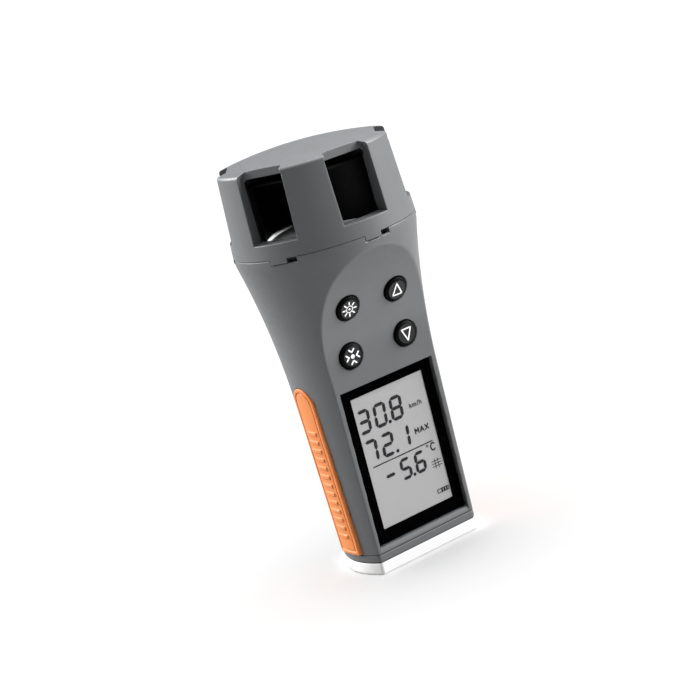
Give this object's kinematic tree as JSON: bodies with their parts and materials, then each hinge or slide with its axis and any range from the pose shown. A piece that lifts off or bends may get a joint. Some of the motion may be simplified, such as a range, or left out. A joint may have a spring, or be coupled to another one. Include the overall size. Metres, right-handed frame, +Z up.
{
  "type": "vane anemometer",
  "caption": "Handheld wind meter with a vertical-axis rotor in a windowed head, a display, four keys, side grips and a tripod thread.",
  "frame": {"origin": "on the rotor's axis at the underside of the foot", "axes": "+Z up along the rotor's axis, -Y out of the display, +X to the right of someone reading the display"},
  "size_m": [0.064, 0.064, 0.1482],
  "materials": {
    "grey_plastic": "fine moulded texture",
    "jewel": "polished",
    "black_plastic": "satin",
    "steel": "plain",
    "magnet": "sintered ferrite",
    "light_grey_plastic": "satin",
    "black_rubber": "matte",
    "window": "clear acrylic",
    "black_print": "printed black border",
    "lcd": "grey liquid crystal panel",
    "diffuser": "satin",
    "circuit_board": "solder mask",
    "flex": "polyimide film",
    "bead": "epoxy",
    "cells": "printed sleeve",
    "white_plastic": "satin",
    "brass": "machined brass",
    "orange_rubber": "soft-touch moulding"
  },
  "bodies": {
    "body": {"floor_plate": "light_grey_plastic", "lower_bearing": "jewel", "head_seal": "black_rubber", "plate_screws": "steel", "housing": "grey_plastic", "display_window": "window", "display_mask": "black_print", "lcd_glass": "lcd", "backlight": "diffuser", "lcd_holder": "light_grey_plastic", "contact_strips": "black_rubber", "main_board": "circuit_board", "processor": "black_plastic", "sensor_flex": "flex", "hall_sensor": "black_plastic", "temperature_sensor": "bead", "keypad_mat": "black_rubber", "switch_domes": "steel", "key_board": "circuit_board", "board_screws": "steel", "battery_holder": "black_plastic", "batteries": "cells", "battery_springs": "steel", "battery_plate": "steel", "base_ring": "grey_plastic", "base_gasket": "black_rubber", "base_cap": "white_plastic", "base_screws": "steel", "tripod_insert": "brass", "left_grip": "orange_rubber", "right_grip": "orange_rubber"},
    "rotor": {"rotor": "black_plastic", "rotor_shaft": "steel", "rotor_magnet": "magnet"},
    "head": {"head_cage": "grey_plastic", "upper_bearing": "jewel"},
    "light_key": {"light_key": "black_plastic"},
    "up_key": {"up_key": "black_plastic"},
    "chill_key": {"chill_key": "black_plastic"},
    "down_key": {"down_key": "black_plastic"}
  },
  "joints": [
    {"name": "rotor_spin", "type": "hinge", "parent": "body", "child": "rotor", "pos_m": [0, 0, 0.13], "axis": [0, 0, 1], "continuous": true},
    {"name": "head_lift", "type": "slide", "parent": "body", "child": "head", "axis": [0, 0, 1], "range_m": [0, 0.04]},
    {"name": "light_key_press", "type": "slide", "parent": "body", "child": "light_key", "axis": [0, 0.9262, 0.3771], "range_m": [0, 0.0008], "stiffness_N_per_m": 600},
    {"name": "up_key_press", "type": "slide", "parent": "body", "child": "up_key", "axis": [0, 0.9262, 0.3771], "range_m": [0, 0.0008], "stiffness_N_per_m": 600},
    {"name": "chill_key_press", "type": "slide", "parent": "body", "child": "chill_key", "axis": [0, 0.9955, 0.0949], "range_m": [0, 0.0008], "stiffness_N_per_m": 600},
    {"name": "down_key_press", "type": "slide", "parent": "body", "child": "down_key", "axis": [0, 0.9955, 0.0949], "range_m": [0, 0.0008], "stiffness_N_per_m": 600}
  ]
}
